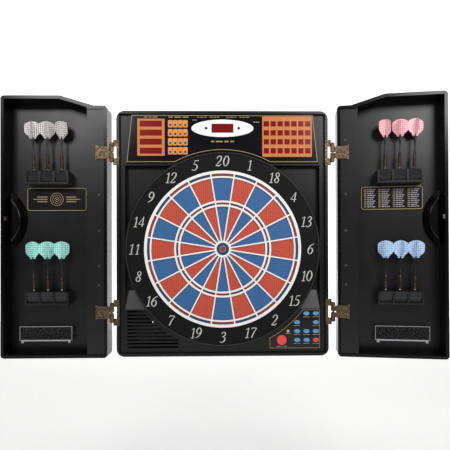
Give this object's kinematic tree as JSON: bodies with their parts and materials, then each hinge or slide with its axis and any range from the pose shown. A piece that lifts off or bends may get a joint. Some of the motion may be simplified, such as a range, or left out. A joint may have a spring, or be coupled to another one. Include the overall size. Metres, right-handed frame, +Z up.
{
  "type": "dart board cabinet",
  "caption": "Wall-hung electronic dart board in a two-door cabinet, with score displays, control buttons and doors that hold darts.",
  "frame": {"origin": "on the wall plane, straight behind the middle of the board", "axes": "+X to the viewer's right, along the open doors; +Y into the wall, so the front faces -Y; +Z up"},
  "size_m": [1.1082, 0.1051, 0.6545],
  "materials": {
    "housing_plastic": "satin black ABS moulding, finely grained",
    "door_plastic": "satin black ABS moulding, finely grained",
    "holder_plastic": "satin black ABS moulding",
    "console_gloss": "glossy black printed sheet with gold outlines",
    "display_red": "dark red display lens",
    "bezel_white": "glossy white moulding",
    "lamp_amber": "pale amber lens",
    "white_plastic": "white thermoplastic",
    "ring_plastic": "matt black plastic with moulded numerals",
    "segment_red": "orange-red thermoplastic, perforated for soft tips",
    "segment_blue": "blue thermoplastic, perforated for soft tips",
    "rubber": "soft black rubber sheet",
    "sensor_film": "printed polyester switch film",
    "fibreboard": "pressed fibreboard",
    "circuit_green": "glass-fibre circuit board",
    "speaker_metal": "black painted steel and paper cone",
    "socket_black": "black moulded power socket",
    "screw_steel": "zinc-plated steel",
    "bronze": "antique bronze plated steel",
    "button_blue": "blue translucent button",
    "button_red": "red translucent button",
    "plate_black": "black printed plate with gold lines",
    "clear_acrylic": "clear acrylic",
    "magnet_grey": "nickel-plated magnet or strike",
    "dart_brass": "machined and knurled brass",
    "dart_plastic": "black nylon tip and shaft",
    "flight_white": "printed polyester flight",
    "flight_mint": "printed polyester flight",
    "flight_pink": "printed polyester flight",
    "flight_sky": "printed polyester flight"
  },
  "bodies": {
    "root": {"front_housing": "housing_plastic", "rear_cover": "housing_plastic", "backing_plate": "fibreboard", "sensor_membrane": "sensor_film", "rubber_mat": "rubber", "spider": "white_plastic", "number_ring": "ring_plastic", "display_overlay": "console_gloss", "score_display_lenses": "display_red", "cricket_display_lenses": "display_red", "centre_display_lens": "display_red", "display_bezel": "bezel_white", "control_overlay": "console_gloss", "status_lamp": "lamp_amber", "main_circuit_board": "circuit_green", "display_circuit_board": "circuit_green", "speaker": "speaker_metal", "power_socket": "socket_black", "unit_screws": "screw_steel", "hinge_pins": "bronze", "hinge_cabinet_leaves": "bronze"},
    "double_segments": {"double_segments_red": "segment_red", "double_segments_blue": "segment_blue"},
    "triple_segments": {"triple_segments_red": "segment_red", "triple_segments_blue": "segment_blue"},
    "single_segments": {"single_segments_red": "segment_red", "single_segments_blue": "segment_blue"},
    "outer_bull": {"outer_bull": "segment_blue"},
    "inner_bull": {"inner_bull": "segment_red"},
    "player_button": {"player_button": "button_blue"},
    "option_button": {"option_button": "button_blue"},
    "double_button": {"double_button": "button_blue"},
    "start_button": {"start_button": "button_blue"},
    "select_button": {"select_button": "button_blue"},
    "score_button": {"score_button": "button_blue"},
    "sound_button": {"sound_button": "button_blue"},
    "handicap_button": {"handicap_button": "button_blue"},
    "reset_button": {"reset_button": "button_blue"},
    "power_button": {"power_button": "button_red"},
    "start_game_button": {"start_game_button": "button_red"},
    "left_door": {"left_door_shell": "door_plastic", "left_door_stile": "door_plastic", "left_hinge_leaves": "bronze", "left_dart_holders": "holder_plastic", "left_clear_tray": "clear_acrylic", "left_door_screws": "screw_steel", "left_emblem_plate": "plate_black", "left_catch_magnet": "magnet_grey"},
    "left_upper_darts": {"left_upper_darts": "dart_brass"},
    "left_lower_darts": {"left_lower_darts": "dart_brass"},
    "right_door": {"right_door_shell": "door_plastic", "right_door_stile": "door_plastic", "right_hinge_leaves": "bronze", "right_dart_holders": "holder_plastic", "right_clear_tray": "clear_acrylic", "right_door_screws": "screw_steel", "right_score_plate": "plate_black", "right_catch_strike": "magnet_grey"},
    "right_upper_darts": {"right_upper_darts": "dart_brass"},
    "right_lower_darts": {"right_lower_darts": "dart_brass"}
  },
  "joints": [
    {"name": "left_door_hinge", "type": "hinge", "parent": "root", "child": "left_door", "pos_m": [-0.2765, -0.0623, 0], "axis": [0, 0, 1], "range_deg": [0, 180]},
    {"name": "right_door_hinge", "type": "hinge", "parent": "root", "child": "right_door", "pos_m": [0.2765, -0.0623, 0], "axis": [0, 0, -1], "range_deg": [-9, 171]},
    {"name": "double_segments_press", "type": "slide", "parent": "root", "child": "double_segments", "axis": [0, 1, 0], "range_m": [0, 0.0012], "stiffness_N_per_m": 3000},
    {"name": "triple_segments_press", "type": "slide", "parent": "root", "child": "triple_segments", "axis": [0, 1, 0], "range_m": [0, 0.0012], "stiffness_N_per_m": 3000},
    {"name": "single_segments_press", "type": "slide", "parent": "root", "child": "single_segments", "axis": [0, 1, 0], "range_m": [0, 0.0012], "stiffness_N_per_m": 3000},
    {"name": "outer_bull_press", "type": "slide", "parent": "root", "child": "outer_bull", "axis": [0, 1, 0], "range_m": [0, 0.0012], "stiffness_N_per_m": 3000},
    {"name": "inner_bull_press", "type": "slide", "parent": "root", "child": "inner_bull", "axis": [0, 1, 0], "range_m": [0, 0.0012], "stiffness_N_per_m": 3000},
    {"name": "player_button_press", "type": "slide", "parent": "root", "child": "player_button", "axis": [0, 1, 0], "range_m": [0, 0.0015], "stiffness_N_per_m": 400},
    {"name": "option_button_press", "type": "slide", "parent": "root", "child": "option_button", "axis": [0, 1, 0], "range_m": [0, 0.0015], "stiffness_N_per_m": 400},
    {"name": "double_button_press", "type": "slide", "parent": "root", "child": "double_button", "axis": [0, 1, 0], "range_m": [0, 0.0015], "stiffness_N_per_m": 400},
    {"name": "start_button_press", "type": "slide", "parent": "root", "child": "start_button", "axis": [0, 1, 0], "range_m": [0, 0.0015], "stiffness_N_per_m": 400},
    {"name": "select_button_press", "type": "slide", "parent": "root", "child": "select_button", "axis": [0, 1, 0], "range_m": [0, 0.0015], "stiffness_N_per_m": 400},
    {"name": "score_button_press", "type": "slide", "parent": "root", "child": "score_button", "axis": [0, 1, 0], "range_m": [0, 0.0015], "stiffness_N_per_m": 400},
    {"name": "sound_button_press", "type": "slide", "parent": "root", "child": "sound_button", "axis": [0, 1, 0], "range_m": [0, 0.0015], "stiffness_N_per_m": 400},
    {"name": "handicap_button_press", "type": "slide", "parent": "root", "child": "handicap_button", "axis": [0, 1, 0], "range_m": [0, 0.0015], "stiffness_N_per_m": 400},
    {"name": "reset_button_press", "type": "slide", "parent": "root", "child": "reset_button", "axis": [0, 1, 0], "range_m": [0, 0.0015], "stiffness_N_per_m": 400},
    {"name": "power_button_press", "type": "slide", "parent": "root", "child": "power_button", "axis": [0, 1, 0], "range_m": [0, 0.0015], "stiffness_N_per_m": 400},
    {"name": "start_game_button_press", "type": "slide", "parent": "root", "child": "start_game_button", "axis": [0, 1, 0], "range_m": [0, 0.0015], "stiffness_N_per_m": 400},
    {"name": "left_upper_darts_lift", "type": "slide", "parent": "left_door", "child": "left_upper_darts", "axis": [0, 0, 1], "range_m": [0, 0.045]},
    {"name": "left_lower_darts_lift", "type": "slide", "parent": "left_door", "child": "left_lower_darts", "axis": [0, 0, 1], "range_m": [0, 0.045]},
    {"name": "right_upper_darts_lift", "type": "slide", "parent": "right_door", "child": "right_upper_darts", "axis": [0, 0, 1], "range_m": [0, 0.045]},
    {"name": "right_lower_darts_lift", "type": "slide", "parent": "right_door", "child": "right_lower_darts", "axis": [0, 0, 1], "range_m": [0, 0.045]}
  ]
}
